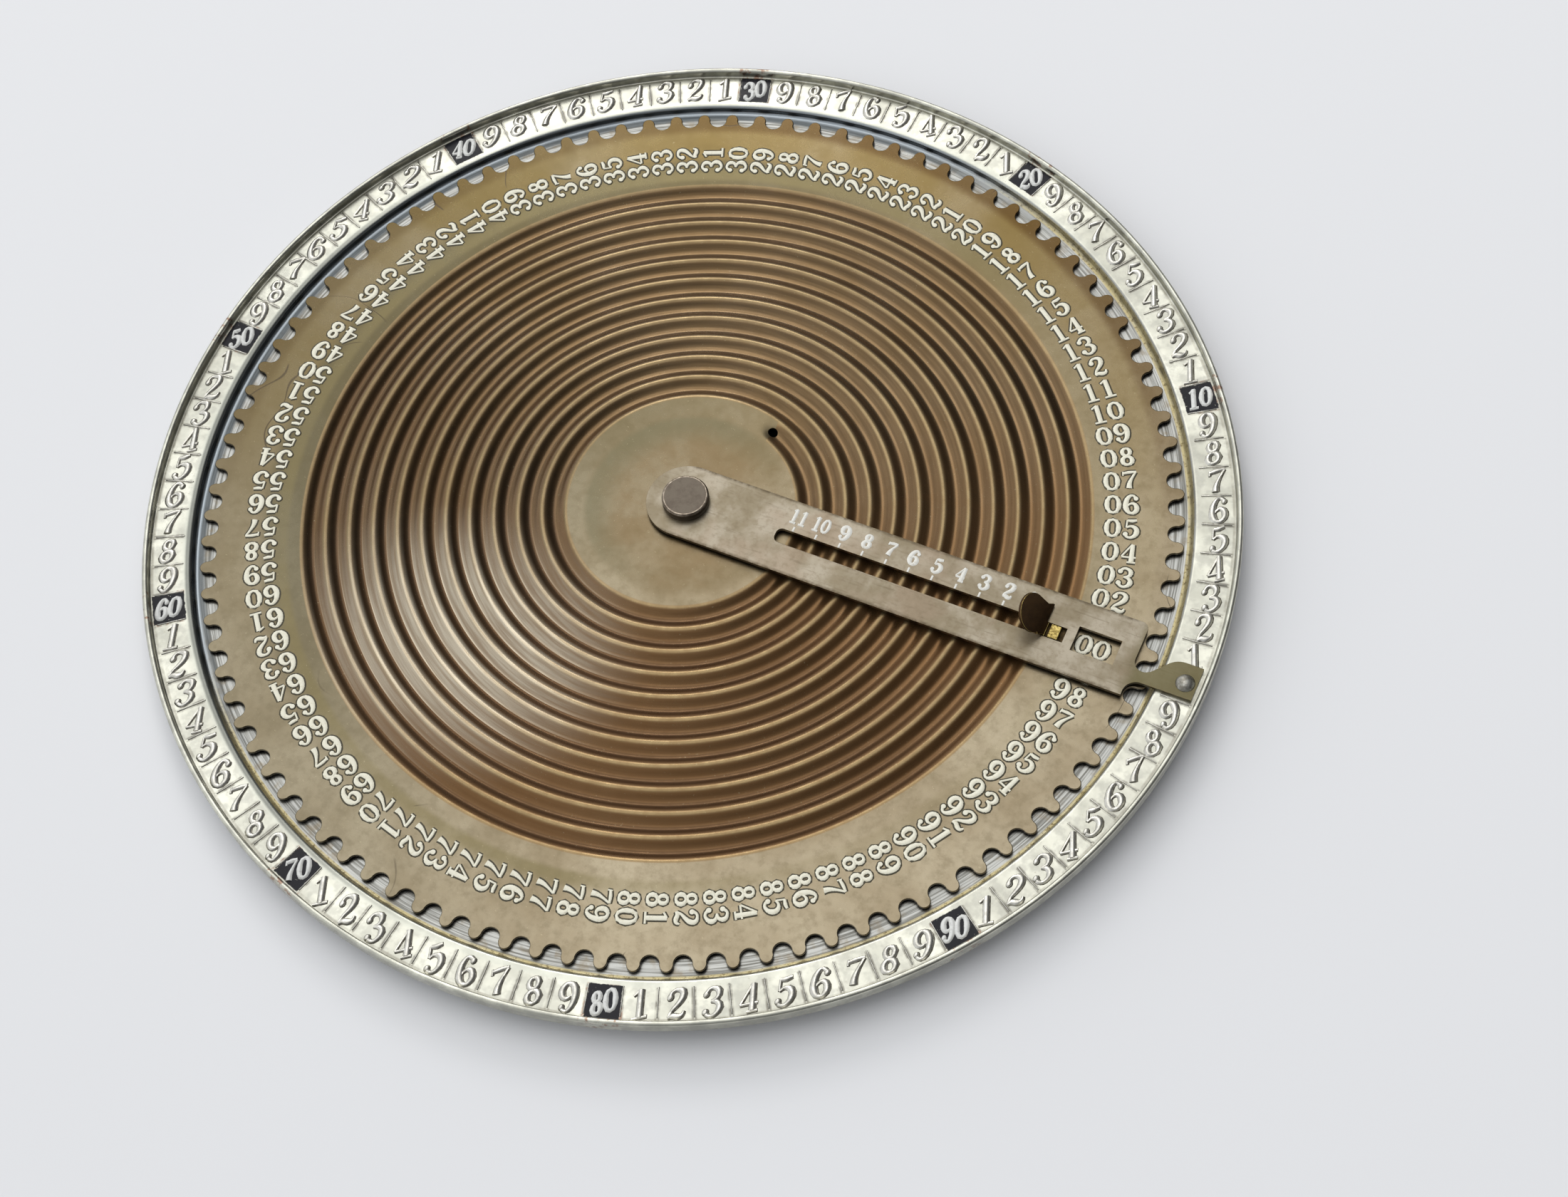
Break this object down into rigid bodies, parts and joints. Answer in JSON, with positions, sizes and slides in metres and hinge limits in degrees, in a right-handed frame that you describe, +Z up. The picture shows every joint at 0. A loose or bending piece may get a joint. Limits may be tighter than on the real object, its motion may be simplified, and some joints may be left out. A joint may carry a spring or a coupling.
{
  "type": "disc adder",
  "caption": "Round pocket adding machine: a notched number disc with a spiral groove in a shallow nickel pan, and a fixed arm whose slider counts the turns.",
  "frame": {"origin": "on the axis of the disc, at the flat underside of the pan", "axes": "+Z up out of the dial, +X along the arm towards its finger, +Y across the arm to the side of its scale"},
  "size_m": [0.178, 0.178, 0.0112],
  "materials": {
    "nickel": "worn nickel plate",
    "bronzed_disc": "bronzed and tarnished",
    "bronzed_arm": "bronzed and worn matt",
    "dark_steel": "blued and worn",
    "washer_steel": "plain",
    "brass": "bright, hammered",
    "dark_brass": "dark bronzed"
  },
  "bodies": {
    "base": {"dial_pan": "nickel", "pivot_stud": "dark_steel", "stud_washer": "washer_steel", "thrust_washer": "washer_steel", "spring_washer": "washer_steel", "arm_spacer": "washer_steel", "index_arm": "bronzed_arm", "arm_rivet": "nickel", "rivet_washer": "nickel"},
    "disc": {"number_disc": "bronzed_disc", "disc_bush": "brass"},
    "slider": {"slider_plate": "brass", "slider_block": "brass", "slider_tab": "dark_brass", "follower_pin": "brass"}
  },
  "joints": [
    {"name": "disc_turn", "type": "hinge", "parent": "base", "child": "disc", "pos_m": [0, 0, 0.004], "axis": [0, 0, -1], "range_deg": [0, 4028]},
    {"name": "slider_slide", "type": "slide", "parent": "base", "child": "slider", "axis": [-1, 0, 0], "range_m": [0, 0.04443]}
  ],
  "couplings": [
    {"joint": "slider_slide", "follows": "disc_turn", "m_per_rad": 0.00063185}
  ]
}
